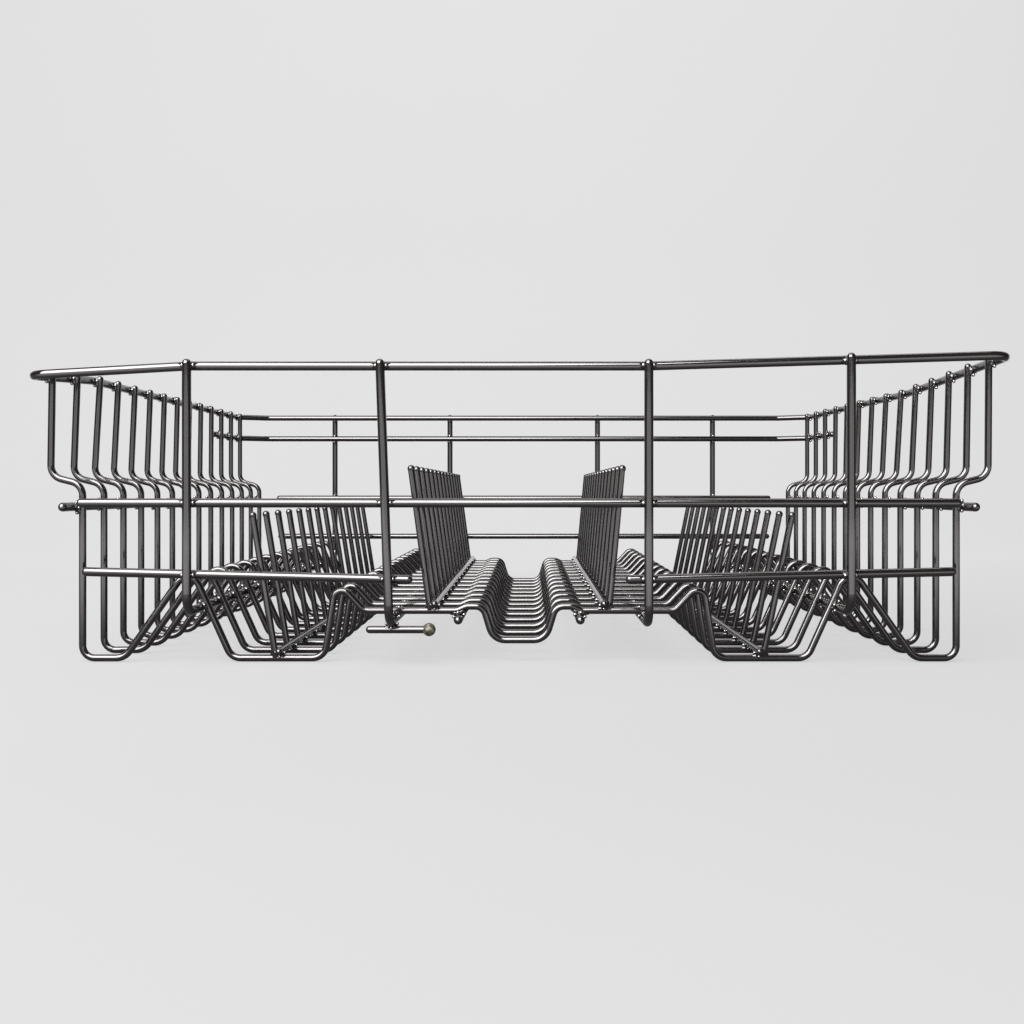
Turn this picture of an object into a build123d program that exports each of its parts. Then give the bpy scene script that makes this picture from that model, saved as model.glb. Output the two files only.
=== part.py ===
from build123d import *
import os
from math import atan2, cos, hypot, radians, sin, tan

# Upper dishwasher basket of welded steel wire with a nylon coating, in millimetres.
# X runs from side to side, Y from front to back and Z up. The origin lies below the middle of the
# basket, on the surface that it stands on. Heights and distances are those of a wire's centre line.

# Wire gauges, coating included
frame_wire = 5.0
rib_wire = 4.0
tine_bar_wire = 4.0
tine_wire = 3.8
stub_wire = 4.2

# Welds
weld_gap = 0.1
tine_sink = 0.6

# Rib row
rib_count = 14
rib_pitch = 35.0

# Rib profile, from the middle plane outwards
channel_half = 14.7
channel_wall_run = 5.8
crest_width = 9.3
step_run = 5.2
floor_width = 52.7
hump_inner_run = 15.9
hump_outer_run = 6.4
trough_width = 52.6
ridge_inner_run = 23.6
ridge_outer_run = 36.8
gutter_width = 23.8
ledge_run = 18.0

# Rib profile, heights of its corners before they are bent round
channel_z = 12.2
floor_z = 28.8
step_rise = 2.4
hump_rise = 17.0
ridge_rise = 52.5
ledge_inner_z = 100.0
ledge_rise = 4.5

# Rib bends
channel_bend = 9.0
crest_bend = 6.0
step_bend = 6.0
floor_bend = 6.0
hump_bend = 5.0
trough_bend = 8.0
ridge_bend = 7.0
gutter_bend = 9.0
wall_bend = 7.0
ledge_bend = 8.0

# Rim
rim_z = 164.7
rim_front_gap = 22.5
rim_front_bend = 12.0
rear_corner_lead = 6.5
rear_corner_depth = 16.0
rear_corner_run = 26.6
rear_corner_bend = 8.0
rib_above_rim = 3.0

# Bends taken in use: the rim's, which the ribs and uprights follow, and that of the left inner upright
corner_sag = 5.0
corner_lift = 6.0
left_push = 3.5
pushed_rib = 3
right_bow = 3.5
bowed_rib = 6
straight_rib = 12
kink_bend = 60.0
upright_lean = 5.0

# Runners and floor wires
upright_above_rim = 3.5
runner_bend = 10.0
outer_runner_z = 30.4
inner_runner_inset = 17.2
floor_wire_overhang = 12.5

# Rails
side_rail_drop = 12.5
side_rail_overhang = 20.0
front_mid_z = 89.8
front_mid_inset = 4.8
front_lower_outer_z = 52.3
front_lower_inner_z = 47.9
front_lower_inset = 7.8
front_lower_overhang = 12.3
rear_upper_drop = 19.7
rear_upper_overhang = 10.0
rear_upper_ribs = 3
rear_mid_z = 88.6
rear_mid_inset = 11.8
rear_lower_z = 52.3
rear_lower_inset = 13.0

# Tine rows
inner_bar_inset = 12.7
inner_tine_lean = 6.4
inner_tine_top = 110.9
outer_bar_inset = 25.0
outer_tine_lean = 10.3
outer_tine_top = 84.4
inner_lean_skew = 1.2
outer_lean_skew = -1.2
bar_overhang = 6.0

# Stub
stub_outer_reach = 14.5
stub_inner_reach = 19.5
stub_behind_bend = 4.5
bead_diameter = 7.3
bead_depth = 2.6
bead_fit = 0.1

sides = (("left", -1), ("right", 1))

# Corners of the rib profile
foot_z = rib_wire / 2
channel_top_x = channel_half + channel_wall_run
crest_x = channel_top_x + crest_width
step_x = crest_x + step_run
floor_x = step_x + floor_width
hump_x = floor_x + hump_inner_run
trough_inner_x = hump_x + hump_outer_run
trough_outer_x = trough_inner_x + trough_width
ridge_x = trough_outer_x + ridge_inner_run
gutter_x = ridge_x + ridge_outer_run
wall_x = gutter_x + gutter_width
side_x = wall_x + ledge_run
crest_z = floor_z + step_rise
hump_z = floor_z + hump_rise
ridge_z = foot_z + ridge_rise
ledge_outer_z = ledge_inner_z + ledge_rise
rib_top_z = rim_z + rib_above_rim

# Places of the ribs and of the wires that are welded to them
frame_on_rib = (frame_wire + rib_wire) / 2 + weld_gap
frame_on_frame = frame_wire + weld_gap
row_half = rib_pitch * (rib_count - 1) / 2
rib_ys = [rib_pitch * index - row_half for index in range(rib_count)]
rim_x = side_x + frame_on_rib
rim_front_y = -row_half - rim_front_gap
rear_corner_y = row_half + rear_corner_lead
rim_rear_y = rear_corner_y + rear_corner_depth
rear_corner_x = rim_x - rear_corner_run
upright_front_y = rim_front_y - frame_on_frame
upright_rear_y = rim_rear_y + frame_on_frame
upright_top_z = rim_z + upright_above_rim
flank_length = hypot(ridge_inner_run, ridge_rise)
flank_lean = ridge_inner_run / ridge_rise
outer_runner_x = (
    trough_outer_x + (outer_runner_z - foot_z) * flank_lean + frame_on_rib * flank_length / ridge_rise
)
inner_runner_x = floor_x - inner_runner_inset
inner_runner_z = floor_z - frame_on_rib
side_rail_x = wall_x + frame_on_rib
side_rail_z = ledge_inner_z - side_rail_drop

# Where the rim is bent, and the heights of its front corners
pushed_y = rib_ys[pushed_rib - 1]
bowed_y = rib_ys[bowed_rib - 1]
straight_y = rib_ys[straight_rib - 1]
left_corner_z = rim_z - corner_sag
right_corner_z = rim_z + corner_lift


def share(value, start, end):
    """How far a value has come on the way from start to end, from 0 to 1."""
    return min(max((value - start) / (end - start), 0), 1)


def rim_shift(side, y):
    """How far the bent rim lies to the right of its true line on one side, and how far above it."""
    if side == "left":
        across = left_push * min(share(y, rim_front_y, pushed_y), share(y, straight_y, pushed_y))
        return across, (left_corner_z - rim_z) * share(y, pushed_y, rim_front_y)
    across = right_bow * min(share(y, rim_front_y, bowed_y), share(y, straight_y, bowed_y))
    return across, (right_corner_z - rim_z) * share(y, bowed_y, rim_front_y)


def bent_wire(plane, points, bends, gauge):
    """A round wire along straight runs joined by bends, with both ends rounded."""
    with BuildPart() as piece:
        with BuildLine(plane) as route:
            FilletPolyline(*points, radius=bends)
        with BuildSketch(Plane(origin=route.line @ 0, z_dir=route.line % 0)):
            Circle(gauge / 2)
        sweep(path=route.line)
        with Locations(
            Plane(origin=route.line @ 0, z_dir=route.line % 0 * -1),
            Plane(origin=route.line @ 1, z_dir=route.line % 1),
        ):
            Sphere(gauge / 2, arc_size1=0, align=(Align.CENTER, Align.CENTER, Align.MIN))
    return piece


def straight_wire(start, end, gauge):
    """A straight round wire with rounded ends, whose tips are the two points."""
    way = (Vector(end) - Vector(start)).normalized()
    with BuildPart() as piece:
        with BuildLine() as route:
            Line(Vector(start) + way * (gauge / 2), Vector(end) - way * (gauge / 2))
        with BuildSketch(Plane(origin=route.line @ 0, z_dir=way)):
            Circle(gauge / 2)
        sweep(path=route.line)
        with Locations(
            Plane(origin=route.line @ 0, z_dir=way * -1),
            Plane(origin=route.line @ 1, z_dir=way),
        ):
            Sphere(gauge / 2, arc_size1=0, align=(Align.CENTER, Align.CENTER, Align.MIN))
    return piece


def save(piece, name):
    """Label a finished piece and write it as its own file."""
    piece.part.label = name
    export_step(piece.part, f"parts/{name}.step")


os.makedirs("parts", exist_ok=True)

# Ribs: bent wires from the left rim to the right rim, alike but for the legs that lean against the rim
half_corners = [
    (side_x, ledge_outer_z, ledge_bend),
    (wall_x, ledge_inner_z, ledge_bend),
    (wall_x, foot_z, wall_bend),
    (gutter_x, foot_z, gutter_bend),
    (ridge_x, ridge_z, ridge_bend),
    (trough_outer_x, foot_z, trough_bend),
    (trough_inner_x, foot_z, trough_bend),
    (hump_x, hump_z, hump_bend),
    (floor_x, floor_z, floor_bend),
    (step_x, floor_z, step_bend),
    (crest_x, crest_z, step_bend),
    (channel_top_x, crest_z, crest_bend),
    (channel_half, channel_z, channel_bend),
]
rib_tip_z = rib_top_z - rib_wire / 2
rib_corners = [(-x, z) for x, z, bend in half_corners]
rib_corners += [(x, z) for x, z, bend in reversed(half_corners)]
rib_bends = [bend for x, z, bend in half_corners]
rib_bends += reversed(rib_bends)
for number, rib_y in enumerate(rib_ys, start=1):
    tips = []
    for side, sign in sides:
        across, rise = rim_shift(side, rib_y)
        lean = across / (rim_z + rise - ledge_outer_z)
        tip_z = rib_tip_z + rise
        tips.append((sign * side_x + lean * (tip_z - ledge_outer_z), tip_z))
    rib = bent_wire(Plane.XZ.offset(-rib_y), [tips[0], *rib_corners, tips[1]], rib_bends, rib_wire)
    save(rib, f"rib_{number:02d}")

# Rim: a closed loop outside the tops of the ribs, bent in front and flat behind with its corners cut off
rim_joint_y = (straight_y + rear_corner_y) / 2
rim_front_points = [
    (-rim_x, rim_joint_y, rim_z),
    (-rim_x, straight_y, rim_z),
    (-rim_x + left_push, pushed_y, rim_z),
    (-rim_x, rim_front_y, left_corner_z),
    (-outer_runner_x, rim_front_y, rim_z),
    (inner_runner_x, rim_front_y, rim_z),
    (rim_x, rim_front_y, right_corner_z),
    (rim_x + right_bow, bowed_y, rim_z),
    (rim_x, straight_y, rim_z),
    (rim_x, rim_joint_y, rim_z),
]
rim_rear_points = [
    (rim_x, rim_joint_y, rim_z),
    (rim_x, rear_corner_y, rim_z),
    (rear_corner_x, rim_rear_y, rim_z),
    (-rear_corner_x, rim_rear_y, rim_z),
    (-rim_x, rear_corner_y, rim_z),
    (-rim_x, rim_joint_y, rim_z),
]
rim_front_bends = [kink_bend] * 2 + [rim_front_bend] + [kink_bend] * 2 + [rim_front_bend] + [kink_bend] * 2
with BuildPart() as rim:
    for points, bends in (
        (rim_front_points, rim_front_bends),
        (rim_rear_points, [rear_corner_bend] * 4),
    ):
        with BuildLine() as rim_route:
            FilletPolyline(*points, radius=bends)
        with BuildSketch(Plane(origin=rim_route.line @ 0, z_dir=rim_route.line % 0)):
            Circle(frame_wire / 2)
        sweep(path=rim_route.line)
save(rim, "rim")

# Runners: front upright, run below the ribs and rear upright in one wire
upright_tip_z = upright_top_z - frame_wire / 2
for kind, runner_x, runner_z in (
    ("outer", outer_runner_x, outer_runner_z),
    ("inner", inner_runner_x, inner_runner_z),
):
    for side, sign in sides:
        x = sign * runner_x
        rim_rise = corner_lift * share(x, inner_runner_x, rim_x)
        lean = upright_lean if (kind, side) == ("inner", "left") else 0
        runner_points = [
            (x - lean, upright_front_y, upright_tip_z + rim_rise),
            (x, upright_front_y, runner_z),
            (x, upright_rear_y, runner_z),
            (x, upright_rear_y, upright_tip_z),
        ]
        runner = bent_wire(Plane.XY, runner_points, [runner_bend] * 2, frame_wire)
        save(runner, f"runner_{kind}_{side}")

# Floor wires: each lies in the hollow below the bend at the foot of the step
step_turn = atan2(step_rise, step_run) / 2
step_seat = step_bend + frame_on_rib
floor_wire_x = step_x + step_bend * tan(step_turn) - step_seat * sin(step_turn)
floor_wire_z = floor_z + step_bend - step_seat * cos(step_turn)
floor_wire_y = row_half + floor_wire_overhang
for side, sign in sides:
    x = sign * floor_wire_x
    floor_wire = straight_wire((x, -floor_wire_y, floor_wire_z), (x, floor_wire_y, floor_wire_z), frame_wire)
    save(floor_wire, f"floor_wire_{side}")

# Side rails, outside the lower side walls
side_rail_y = row_half + side_rail_overhang
for side, sign in sides:
    x = sign * side_rail_x
    side_rail = straight_wire((x, -side_rail_y, side_rail_z), (x, side_rail_y, side_rail_z), frame_wire)
    save(side_rail, f"side_rail_{side}")

# Straight rails between the end uprights and the ribs
for name, rail_y, rail_z, inset in (
    ("front_mid_rail", rim_front_y, front_mid_z, front_mid_inset),
    ("rear_mid_rail", rim_rear_y, rear_mid_z, rear_mid_inset),
    ("rear_lower_rail", rim_rear_y, rear_lower_z, rear_lower_inset),
):
    rail_x = wall_x - inset
    rail = straight_wire((-rail_x, rail_y, rail_z), (rail_x, rail_y, rail_z), frame_wire)
    save(rail, name)

# Front lower rails, which fall a little towards the gap in the middle
for side, sign in sides:
    front_lower_rail = straight_wire(
        (sign * (wall_x - front_lower_inset), rim_front_y, front_lower_outer_z),
        (sign * (inner_runner_x - front_lower_overhang), rim_front_y, front_lower_inner_z),
        frame_wire,
    )
    save(front_lower_rail, f"front_lower_rail_{side}")

# Rear upper rail, which follows the rim round the rear corners and ends past the last ribs
rear_upper_y = rib_ys[-rear_upper_ribs] - rear_upper_overhang
rear_upper_points = [
    (-rim_x, rear_upper_y + frame_wire / 2),
    (-rim_x, rear_corner_y),
    (-rear_corner_x, rim_rear_y),
    (rear_corner_x, rim_rear_y),
    (rim_x, rear_corner_y),
    (rim_x, rear_upper_y + frame_wire / 2),
]
rear_upper_plane = Plane.XY.offset(rim_z - rear_upper_drop)
rear_upper_rail = bent_wire(rear_upper_plane, rear_upper_points, [rear_corner_bend] * 4, frame_wire)
save(rear_upper_rail, "rear_upper_rail")

# Tine rows: a bar on top of the ribs, with one leaning tine for each rib on its outer side
bar_on_rib = (tine_bar_wire + rib_wire) / 2 + weld_gap
tine_from_bar = (tine_bar_wire + tine_wire) / 2 - tine_sink
bar_y = row_half + bar_overhang
for kind, bar_x, ground_z, true_lean, lean_skew, tine_top in (
    ("inner", step_x + inner_bar_inset, floor_z, inner_tine_lean, inner_lean_skew, inner_tine_top),
    ("outer", trough_inner_x + outer_bar_inset, foot_z, outer_tine_lean, outer_lean_skew, outer_tine_top),
):
    bar_z = ground_z + bar_on_rib
    for side, sign in sides:
        lean = radians(true_lean - sign * lean_skew)
        beside_x = bar_x + tine_from_bar * cos(lean)
        beside_z = bar_z - tine_from_bar * sin(lean)
        tine_foot_z = ground_z + rib_wire / 2 + weld_gap + tine_wire / 2 * sin(lean)
        tine_foot_x = beside_x + (tine_foot_z - beside_z) * tan(lean)
        dome_z = (tine_top - tine_wire / 2 - tine_foot_z) / cos(lean)
        tine_length = dome_z + tine_wire / 2
        bar = straight_wire((sign * bar_x, -bar_y, bar_z), (sign * bar_x, bar_y, bar_z), tine_bar_wire)
        tine_way = Vector(sign * sin(lean), 0, cos(lean))
        with BuildPart() as tine:
            with BuildSketch(Plane.XZ):
                with BuildLine():
                    Polyline((0, tine_length), (0, 0), (tine_wire / 2, 0), (tine_wire / 2, dome_z))
                    CenterArc((0, dome_z), tine_wire / 2, 0, 90)
                make_face()
            revolve(axis=Axis.Z)
        with BuildPart() as tine_row:
            add(bar.part)
            with Locations(
                *[Plane(origin=(sign * tine_foot_x, y, tine_foot_z), z_dir=tine_way) for y in rib_ys]
            ):
                add(tine.part)
        save(tine_row, f"tine_row_{kind}_{side}")

# Stub: a short cross wire below the left inner runner, just behind its front bend
stub_y = upright_front_y + runner_bend + stub_behind_bend
stub_z = inner_runner_z - (frame_wire + stub_wire) / 2 - weld_gap
stub_start_x = -inner_runner_x - stub_outer_reach
stub_end_x = -inner_runner_x + stub_inner_reach
foot_stub = straight_wire((stub_start_x, stub_y, stub_z), (stub_end_x, stub_y, stub_z), stub_wire)
save(foot_stub, "foot_stub")

# Bead: a ball with a blind hole over the stub's end
bead_x = stub_end_x - bead_depth + bead_diameter / 2
bead_hole = straight_wire(
    (stub_start_x, stub_y, stub_z),
    (stub_end_x + bead_fit, stub_y, stub_z),
    stub_wire + 2 * bead_fit,
)
with BuildPart() as stub_bead:
    with Locations((bead_x, stub_y, stub_z)):
        Sphere(bead_diameter / 2)
    add(bead_hole.part, mode=Mode.SUBTRACT)
save(stub_bead, "stub_bead")
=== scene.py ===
import math

import bpy
import numpy as np
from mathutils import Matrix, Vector
from mathutils.bvhtree import BVHTree


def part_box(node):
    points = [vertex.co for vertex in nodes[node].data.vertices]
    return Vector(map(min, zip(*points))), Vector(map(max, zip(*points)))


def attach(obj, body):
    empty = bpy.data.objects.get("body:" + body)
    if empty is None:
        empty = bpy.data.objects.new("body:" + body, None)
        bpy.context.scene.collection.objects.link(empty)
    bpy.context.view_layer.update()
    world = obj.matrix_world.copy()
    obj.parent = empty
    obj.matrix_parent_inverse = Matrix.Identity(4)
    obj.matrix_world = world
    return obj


# Upper dishwasher basket of coated wire. Lengths are metres, the rows of a ball are latitudes in degrees.
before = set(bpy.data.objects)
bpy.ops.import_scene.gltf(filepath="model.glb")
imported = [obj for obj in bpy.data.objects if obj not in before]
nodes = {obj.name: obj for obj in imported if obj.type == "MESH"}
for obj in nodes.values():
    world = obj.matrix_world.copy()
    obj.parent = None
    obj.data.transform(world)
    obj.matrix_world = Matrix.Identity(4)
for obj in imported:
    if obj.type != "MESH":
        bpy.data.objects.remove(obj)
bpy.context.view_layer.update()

# Webs of coating: how wide the coating pools in the corners of a weld
web_pool = 0.0026
rib_web_pool = 0.0024
tine_web_pool = 0.0028

# Webs of coating: how far a web reaches, and how deep it ends inside a wire
web_reach = 0.0058
web_tuck = 0.0005

# Webs of coating: the wire to each side that shapes a web, and the share that does so up to a bend or tip
web_span = 0.023
bend_share = 0.35

# Webs of coating: how finely they are found and meshed
contact_turns = 120
web_steps = 70
web_columns = 28
web_rows = (-58, -42, -30, -20, -11, -4, 4, 11, 20, 30, 42, 58)

# Drops of coating beside the welds: size and place in radii of the wire that crosses, and mesh
drop_size = 0.43
drop_spread = 1.16
drop_lift = 0.46
drop_columns = 12
drop_rows = (-60, -30, 0, 30, 60)

# Balls of coating on the tines: size in radii of a tine, and mesh
tip_bulge = 1.13
tip_columns = 20
tip_rows = (-64, -46, -30, -15, 0, 15, 30, 46, 64)

# Tines: their radius in radii of their bar, and how far their foot stands off it, in their own radii
tine_share = 0.95
tine_foot_share = 0.75

# Refractive index of the coating: higher on the thick drops, which makes them glossier
coat_ior = 1.5
drop_ior = 2.4

# Camera, as the view was taken: level, close and from the front. Lens and sensor are in millimetres
camera_place = (0.006, -0.9248, 0.0977)
camera_lens = 43.38
camera_sensor = 36.0
camera_shift = (-0.0176, -0.0229)

# Studio: a floor that bends up into a wall
floor_drop = 0.0003
sweep_front = -2.2
sweep_back = 1.5
sweep_bend = 0.6
sweep_height = 2.0
sweep_half = 2.4
sweep_rows = 24

# Studio: glow of the floor as the camera sees it, and its painted light as the wires mirror it, from front to
# back
sweep_glow = (0.51, 0.63)
sweep_glow_reach = (-0.5, 0.9)
mirror_glow = 0.05
mirror_front_glow = 2.0
mirror_front_reach = (-0.72, -0.28)
mirror_wall_reach = (0.3, 0.9)

# Studio: glow of the walls around, as the wires mirror them, and of the backdrop, as the camera sees it
wall_glow = 0.06
backdrop_glow = 0.76

# Studio: where the lights aim
basket_middle = (0, 0, 0.08)
backdrop_middle = (0, 1.5, 0.5)

axis_x = Vector((1, 0, 0))
axis_y = Vector((0, 1, 0))
axis_z = Vector((0, 0, 1))
sides = (("left", -1), ("right", 1))
tine_kinds = ("inner", "outer")


# Materials
def new_material(name):
    """A node material with its node tree and its shader."""
    material = bpy.data.materials.new(name)
    material.use_nodes = True
    tree = material.node_tree
    return material, tree, tree.nodes["Principled BSDF"]


def noise(tree, scale, detail, roughness=0.5):
    """A noise texture in the object's own space, in features to the metre."""
    place = tree.nodes.new("ShaderNodeTexCoord")
    node = tree.nodes.new("ShaderNodeTexNoise")
    node.inputs["Scale"].default_value = scale
    node.inputs["Detail"].default_value = detail
    node.inputs["Roughness"].default_value = roughness
    tree.links.new(place.outputs["Object"], node.inputs["Vector"])
    return node.outputs["Fac"]


def ramp(tree, value, *stops):
    """A colour ramp over a value: stops are (position, colour)."""
    node = tree.nodes.new("ShaderNodeValToRGB")
    bar = node.color_ramp.elements
    while len(bar) < len(stops):
        bar.new(0.5)
    for element, (position, colour) in zip(bar, stops):
        element.position = position
        element.color = (*colour, 1)
    tree.links.new(value, node.inputs["Fac"])
    return node.outputs["Color"]


def spread(tree, value, low, high, start=0.3, end=0.7):
    """A value's range from start to end mapped to low and high."""
    node = tree.nodes.new("ShaderNodeMapRange")
    node.inputs["From Min"].default_value = start
    node.inputs["From Max"].default_value = end
    node.inputs["To Min"].default_value = low
    node.inputs["To Max"].default_value = high
    tree.links.new(value, node.inputs["Value"])
    return node.outputs["Result"]


def bump(tree, shader, height, depth):
    """Relief of a given depth, in metres."""
    node = tree.nodes.new("ShaderNodeBump")
    node.inputs["Distance"].default_value = depth
    tree.links.new(height, node.inputs["Height"])
    tree.links.new(node.outputs["Normal"], shader.inputs["Normal"])


def coated_wire(name, ior):
    """Graphite nylon: nearly black and slightly warm, glossy, with a faint orange peel."""
    material, tree, shader = new_material(name)
    shader.inputs["IOR"].default_value = ior
    shader.inputs["Specular IOR Level"].default_value = 0.85
    shader.inputs["Specular Tint"].default_value = (1, 0.96, 0.96, 1)
    cloud = noise(tree, scale=45, detail=3)
    tint = ramp(tree, cloud, (0.3, (0.0036, 0.0031, 0.0030)), (0.7, (0.0050, 0.0044, 0.0042)))
    tree.links.new(tint, shader.inputs["Base Color"])
    gloss = spread(tree, noise(tree, scale=160, detail=3), 0.09, 0.12)
    tree.links.new(gloss, shader.inputs["Roughness"])
    bump(tree, shader, noise(tree, scale=320, detail=2), depth=0.0000012)
    return material


def bare_metal():
    """Dull olive metal, pitted and spotted with a lighter bloom."""
    material, tree, shader = new_material("dull_bare_metal")
    spots = noise(tree, scale=620, detail=5, roughness=0.65)
    tint = ramp(
        tree,
        spots,
        (0.36, (0.020, 0.0182, 0.0125)),
        (0.52, (0.058, 0.054, 0.038)),
        (0.66, (0.19, 0.183, 0.145)),
    )
    tree.links.new(tint, shader.inputs["Base Color"])
    tree.links.new(spread(tree, spots, 0.32, 0.55), shader.inputs["Roughness"])
    shader.inputs["Metallic"].default_value = 0.45
    bump(tree, shader, spots, depth=0.0005)
    return material


def glowing_floor():
    """The studio's floor: pale to the camera, with a little more glow at the back, where less light falls.
    To the wires it glows as painted light: dark below the basket, bright in front and at the back."""
    material, tree, shader = new_material("studio_glowing_floor")
    place = tree.nodes.new("ShaderNodeTexCoord")
    axes = tree.nodes.new("ShaderNodeSeparateXYZ")
    tree.links.new(place.outputs["Object"], axes.inputs["Vector"])
    seen = spread(tree, axes.outputs["Y"], *sweep_glow, *sweep_glow_reach)
    # Painted light: only rays that are not the camera's see this glow, bright in front of the basket, dark
    # below it and rising at the back
    front = spread(tree, axes.outputs["Y"], mirror_front_glow, 0, *mirror_front_reach)
    back = spread(tree, axes.outputs["Y"], mirror_glow, sweep_glow[1], *mirror_wall_reach)
    mirrored = tree.nodes.new("ShaderNodeMath")
    tree.links.new(front, mirrored.inputs[0])
    tree.links.new(back, mirrored.inputs[1])
    path = tree.nodes.new("ShaderNodeLightPath")
    choice = tree.nodes.new("ShaderNodeMix")
    tree.links.new(path.outputs["Is Camera Ray"], choice.inputs["Factor"])
    tree.links.new(mirrored.outputs["Value"], choice.inputs["A"])
    tree.links.new(seen, choice.inputs["B"])
    tree.links.new(choice.outputs["Result"], shader.inputs["Emission Strength"])
    shader.inputs["Emission Color"].default_value = (1, 1, 1.005, 1)
    patches = noise(tree, scale=3, detail=2)
    tint = ramp(tree, patches, (0.3, (0.049, 0.049, 0.0493)), (0.7, (0.051, 0.051, 0.0513)))
    tree.links.new(tint, shader.inputs["Base Color"])
    shader.inputs["Roughness"].default_value = 0.9
    shader.inputs["Specular IOR Level"].default_value = 0.2
    return material


wire_coat = coated_wire("graphite_nylon", coat_ior)
drop_coat = coated_wire("thick_graphite_nylon", drop_ior)
bead_metal = bare_metal()
for name, node in nodes.items():
    node.data.materials.clear()
    node.data.materials.append(bead_metal if name == "stub_bead" else wire_coat)
    node.data.polygons.foreach_set("use_smooth", [True] * len(node.data.polygons))


# Mesh helpers
def ring_faces(columns, rows, first):
    """Faces of a closed ball: a pole, rows of columns, and a pole, numbered from first."""
    faces = []
    last = first + rows * columns + 1
    for column in range(columns):
        beside = (column + 1) % columns
        faces.append((first, first + 1 + beside, first + 1 + column))
        for row in range(rows - 1):
            low = first + 1 + row * columns
            high = low + columns
            faces.append((low + column, low + beside, high + beside, high + column))
        top = first + 1 + (rows - 1) * columns
        faces.append((top + column, top + beside, last))
    return faces


def ball_ways(columns, latitudes, pole, side):
    """Unit directions of such a ball, from the pole's foot up."""
    across = pole.cross(side)
    ways = [-pole]
    for latitude in latitudes:
        up = math.radians(latitude)
        for column in range(columns):
            turn = 2 * math.pi * column / columns
            level = side * math.cos(turn) + across * math.sin(turn)
            ways.append(level * math.cos(up) + pole * math.sin(up))
    ways.append(pole)
    return np.array(ways)


class Islands:
    """A piece made of many closed islands of coating."""

    def __init__(self):
        self.points = []
        self.faces = []

    def add(self, points, columns, rows):
        """One more island, from the points of a ball."""
        self.faces += ring_faces(columns, rows, len(self.points))
        self.points += [tuple(point) for point in points]

    def finish(self, name, material):
        """The piece itself, which rides with the basket."""
        mesh = bpy.data.meshes.new(name)
        mesh.from_pydata(self.points, [], self.faces)
        mesh.polygons.foreach_set("use_smooth", [True] * len(mesh.polygons))
        mesh.materials.append(material)
        mesh.update()
        piece = bpy.data.objects.new(name, mesh)
        bpy.context.scene.collection.objects.link(piece)
        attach(piece, "root")


# Wires of the frame: where they lie and how thick they are
def thickness(name, axis):
    """Gauge of a wire, from its box across the given axis."""
    low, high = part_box(name)
    return (high - low)[axis]


def middle(name):
    """Middle of a wire's box."""
    low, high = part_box(name)
    return (low + high) / 2


rib_names = sorted(name for name in nodes if name.startswith("rib_"))
runner_names = [f"runner_{kind}_{side}" for kind in ("outer", "inner") for side, sign in sides]
rib_ys = {name: middle(name).y for name in rib_names}
rib_radius = thickness(rib_names[0], 1) / 2
frame_radius = thickness("front_mid_rail", 2) / 2
stub_radius = thickness("foot_stub", 2) / 2
bar_radius = rib_radius
tine_radius = bar_radius * tine_share
surfaces = {}
for name, node in nodes.items():
    corners = [vertex.co for vertex in node.data.vertices]
    surfaces[name] = BVHTree.FromPolygons(corners, [polygon.vertices for polygon in node.data.polygons])


def contact(name_a, name_b, seed):
    """The two nearest points of a pair of wires close to the seed."""
    at_a = Vector(seed)
    for turn in range(contact_turns):
        at_b = surfaces[name_b].find_nearest(at_a)[0]
        at_a = surfaces[name_a].find_nearest(at_b)[0]
    return at_a, at_b


def across_wire(way, normal):
    """A wire's direction, made square to the normal at the weld."""
    return (way - normal * way.dot(normal)).normalized()


def wire_stretch(name, core, run, radius):
    """The straight stretch of a wire about a point of its core: its two ends, short of tips and bends,
    and its radius."""
    ends = []
    for way in (-run, run):
        place, facing, face, length = surfaces[name].ray_cast(core, way, web_span)
        ends.append(core + way * (web_span if place is None else length * bend_share))
    return (*ends, radius)


def surface_gap(points, stretch):
    """Distance of points outside a straight stretch of wire."""
    start, end, radius = stretch
    way = np.array(end - start)
    along = np.clip((points - np.array(start)) @ way / (way @ way), 0, 1)
    return np.linalg.norm(points - np.array(start) - along[..., None] * way, axis=-1) - radius


# One weld
weld_drops = Islands()
drop_ways = ball_ways(drop_columns, drop_rows, axis_z, axis_x)


def add_drops(centre, core, stretch, lift, radius):
    """Drops of coating on a wire, one on each side of the wire of the given radius that crosses it."""
    for end in stretch[:2]:
        if (end - core).length > radius:
            way = (end - core).normalized()
            place = centre + (way * drop_spread + lift * drop_lift) * radius
            weld_drops.add(np.array(place) + drop_ways * radius * drop_size, drop_columns, len(drop_rows))


def add_web(webs, centre, normal, side, stretches, pool):
    """The coating that fills the corners round a weld, found along rays from the weld's middle.
    It pools where two wires are about equally near, and each ray ends on it or just inside a wire."""
    ways = ball_ways(web_columns, web_rows, normal, side)
    steps = np.linspace(0, web_reach, web_steps)
    points = np.array(centre) + ways[:, None, :] * steps[None, :, None]
    gaps = [surface_gap(points, stretch) for stretch in stretches]
    coat = gaps[0]
    for gap in gaps[1:]:
        corner = np.maximum(pool - np.abs(coat - gap), 0) / pool
        coat = np.minimum(coat, gap) - corner**2 * pool / 4
    buried = np.minimum.reduce(gaps) < -web_tuck
    outside = (coat > 0) | buried
    outside[:, -1] = True
    outside[:, 0] = False
    last = outside.argmax(axis=1)
    rays = np.arange(len(ways))
    before = coat[rays, last - 1]
    after = coat[rays, last]
    share = np.where(after > 0, -before / np.maximum(after - before, 1e-9), 1.0)
    length = steps[last - 1] + np.clip(share, 0, 1) * (steps[1] - steps[0])
    webs.add(np.array(centre) + ways * length[:, None], web_columns, len(web_rows))


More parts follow.
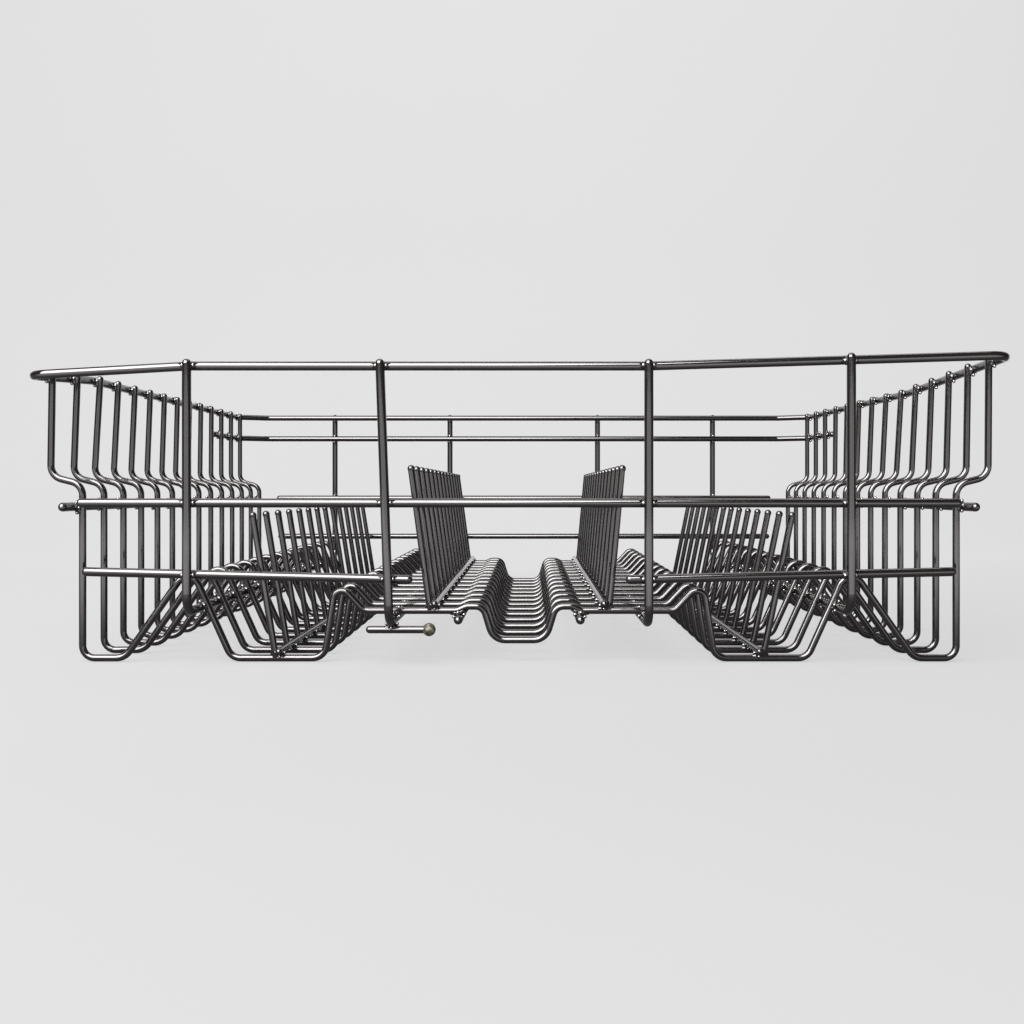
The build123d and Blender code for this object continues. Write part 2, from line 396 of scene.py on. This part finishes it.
def weld(webs, name_a, way_a, radius_a, name_b, way_b, radius_b, seed, pool, others=()):
    """A web and its drops where wire a crosses wire b near the seed.
    A rib's way is given as None: it runs square to Y."""
    at_a, at_b = contact(name_a, name_b, seed)
    normal = (at_b - at_a).normalized()
    run_a = across_wire(way_a, normal) if way_a else axis_y.cross(normal).normalized()
    run_b = across_wire(way_b, normal)
    core_a = at_a - normal * radius_a
    core_b = at_b + normal * radius_b
    stretch_a = wire_stretch(name_a, core_a, run_a, radius_a)
    stretch_b = wire_stretch(name_b, core_b, run_b, radius_b)
    centre = (at_a + at_b) / 2
    add_web(webs, centre, normal, run_b, [stretch_a, stretch_b, *others], pool)
    add_drops(centre, core_a, stretch_a, normal, radius_b)
    add_drops(centre, core_b, stretch_b, -normal, radius_a)


# Coating of the basket
def rib_webs():
    """Welds of the ribs to the wires that run from front to back."""
    webs = Islands()
    rim_low, rim_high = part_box("rim")
    lines = {}
    for side, sign in sides:
        rim_x = rim_high.x - frame_radius if sign > 0 else rim_low.x + frame_radius
        lines[("rim", side)] = (rim_x, middle("rim").z)
        for name in (f"side_rail_{side}", f"floor_wire_{side}"):
            lines[(name, side)] = (middle(name).x, middle(name).z)
        for kind in ("outer", "inner"):
            name = f"runner_{kind}_{side}"
            lines[(name, side)] = (middle(name).x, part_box(name)[0].z + frame_radius)
    for rib in rib_names:
        for (name, side), (x, z) in lines.items():
            seed = (x, rib_ys[rib], z)
            weld(webs, rib, None, rib_radius, name, axis_y, frame_radius, seed, rib_web_pool)
    rear_low, rear_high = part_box("rear_upper_rail")
    for rib in rib_names:
        if rib_ys[rib] > rear_low.y:
            for x in (rear_low.x + frame_radius, rear_high.x - frame_radius):
                seed = (x, rib_ys[rib], middle("rear_upper_rail").z)
                weld(webs, rib, None, rib_radius, "rear_upper_rail", axis_y, frame_radius, seed, rib_web_pool)
    webs.finish("rib_weld_coating", wire_coat)


def wall_webs():
    """Welds of the uprights to the rim and to the front and rear rails, and of the stub to its runner."""
    webs = Islands()
    for runner in runner_names:
        low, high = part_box(runner)
        x = middle(runner).x
        lower_rail = "front_lower_rail_left" if x < 0 else "front_lower_rail_right"
        front_y = low.y + frame_radius
        rear_y = high.y - frame_radius
        crossings = [("rim", front_y), ("front_mid_rail", front_y), (lower_rail, front_y), ("rim", rear_y)]
        crossings += [(f"rear_{place}_rail", rear_y) for place in ("upper", "mid", "lower")]
        for rail, y in crossings:
            seed = (x, y, middle(rail).z)
            weld(webs, runner, axis_z, frame_radius, rail, axis_x, frame_radius, seed, web_pool)
    runner = "runner_inner_left"
    seed = (middle(runner).x, middle("foot_stub").y, middle("foot_stub").z)
    weld(webs, runner, axis_y, frame_radius, "foot_stub", axis_x, stub_radius, seed, web_pool)
    webs.finish("wall_weld_coating", wire_coat)


def tine_webs():
    """Feet of the tines, each against its bar and on its rib."""
    webs = Islands()
    for kind in tine_kinds:
        for side, sign in sides:
            row = f"tine_row_{kind}_{side}"
            low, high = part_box(row)
            bar_x = low.x + bar_radius if sign > 0 else high.x - bar_radius
            foot_x = bar_x + sign * (bar_radius + tine_radius * tine_foot_share)
            tip_x = high.x - tine_radius if sign > 0 else low.x + tine_radius
            for rib in rib_names:
                y = rib_ys[rib]
                tine = (Vector((foot_x, y, low.z + bar_radius)), Vector((tip_x, y, high.z)), tine_radius)
                seed = (bar_x, y, low.z)
                weld(webs, rib, None, rib_radius, row, axis_y, bar_radius, seed, tine_web_pool, [tine])
    webs.finish("tine_weld_coating", wire_coat)


def tip_drops():
    """Balls of coating on the tips of the tines."""
    drops = Islands()
    ways = ball_ways(tip_columns, tip_rows, axis_z, axis_x)
    for kind in tine_kinds:
        for side, sign in sides:
            corners = [vertex.co for vertex in nodes[f"tine_row_{kind}_{side}"].data.vertices]
            for rib in rib_names:
                own = [corner for corner in corners if abs(corner.y - rib_ys[rib]) < tine_radius]
                top = max(own, key=lambda corner: corner.z)
                centre = np.array(top - axis_z * tine_radius)
                drops.add(centre + ways * tine_radius * tip_bulge, tip_columns, len(tip_rows))
    drops.finish("tine_tip_coating", wire_coat)


# Studio
def studio():
    """A pale floor that rises behind the basket in one sweep."""
    profile = [(sweep_front, 0.0)]
    for row in range(sweep_rows + 1):
        turn = math.pi / 2 * row / sweep_rows
        y = sweep_back - sweep_bend * (1 - math.sin(turn))
        profile.append((y, sweep_bend * (1 - math.cos(turn))))
    profile.append((sweep_back, sweep_height))
    points = [(x, y, z - floor_drop) for y, z in profile for x in (-sweep_half, sweep_half)]
    faces = [(2 * row, 2 * row + 1, 2 * row + 3, 2 * row + 2) for row in range(len(profile) - 1)]
    mesh = bpy.data.meshes.new("studio_floor")
    mesh.from_pydata(points, [], faces)
    mesh.polygons.foreach_set("use_smooth", [True] * len(mesh.polygons))
    mesh.materials.append(glowing_floor())
    floor = bpy.data.objects.new("studio_floor", mesh)
    bpy.context.scene.collection.objects.link(floor)


def softbox(name, place, aim, width, depth, power):
    """A rectangular light of a given power in watts that faces a point, and isn't seen itself."""
    lamp = bpy.data.lights.new(name, "AREA")
    lamp.shape = "RECTANGLE"
    lamp.size = width
    lamp.size_y = depth
    lamp.energy = power
    light = bpy.data.objects.new(name, lamp)
    light.location = place
    light.rotation_euler = (Vector(aim) - Vector(place)).to_track_quat("-Z", "Y").to_euler()
    light.visible_camera = False
    bpy.context.scene.collection.objects.link(light)


def surroundings():
    """A pale backdrop for the camera, and dim walls to light the basket and to be mirrored."""
    world = bpy.data.worlds.new("studio_world")
    world.use_nodes = True
    tree = world.node_tree
    walls = tree.nodes["Background"]
    walls.inputs["Color"].default_value = (1, 1, 1, 1)
    walls.inputs["Strength"].default_value = wall_glow
    backdrop = tree.nodes.new("ShaderNodeBackground")
    backdrop.inputs["Color"].default_value = (1, 1, 1.005, 1)
    backdrop.inputs["Strength"].default_value = backdrop_glow
    path = tree.nodes.new("ShaderNodeLightPath")
    choice = tree.nodes.new("ShaderNodeMixShader")
    tree.links.new(path.outputs["Is Camera Ray"], choice.inputs["Fac"])
    tree.links.new(walls.outputs["Background"], choice.inputs[1])
    tree.links.new(backdrop.outputs["Background"], choice.inputs[2])
    tree.links.new(choice.outputs["Shader"], tree.nodes["World Output"].inputs["Surface"])
    bpy.context.scene.world = world


def camera():
    """A level camera, square to the basket's front."""
    data = bpy.data.cameras.new("camera")
    data.lens = camera_lens
    data.sensor_width = camera_sensor
    data.shift_x, data.shift_y = camera_shift
    view = bpy.data.objects.new("camera", data)
    view.location = camera_place
    view.rotation_euler = (math.pi / 2, 0, 0)
    bpy.context.scene.collection.objects.link(view)
    bpy.context.scene.camera = view


rib_webs()
wall_webs()
tine_webs()
weld_drops.finish("weld_drop_coating", drop_coat)
tip_drops()
studio()
softbox("key_light", place=(-0.66, -1.29, 1.13), aim=basket_middle, width=1.9, depth=1.6, power=165)
softbox("front_fill", place=(0, -1.7, 0.1), aim=basket_middle, width=4.0, depth=0.4, power=8)
softbox("back_light", place=(0, 0.45, 1.9), aim=backdrop_middle, width=1.8, depth=0.6, power=22)
surroundings()
camera()
bpy.context.scene.view_settings.view_transform = "Standard"
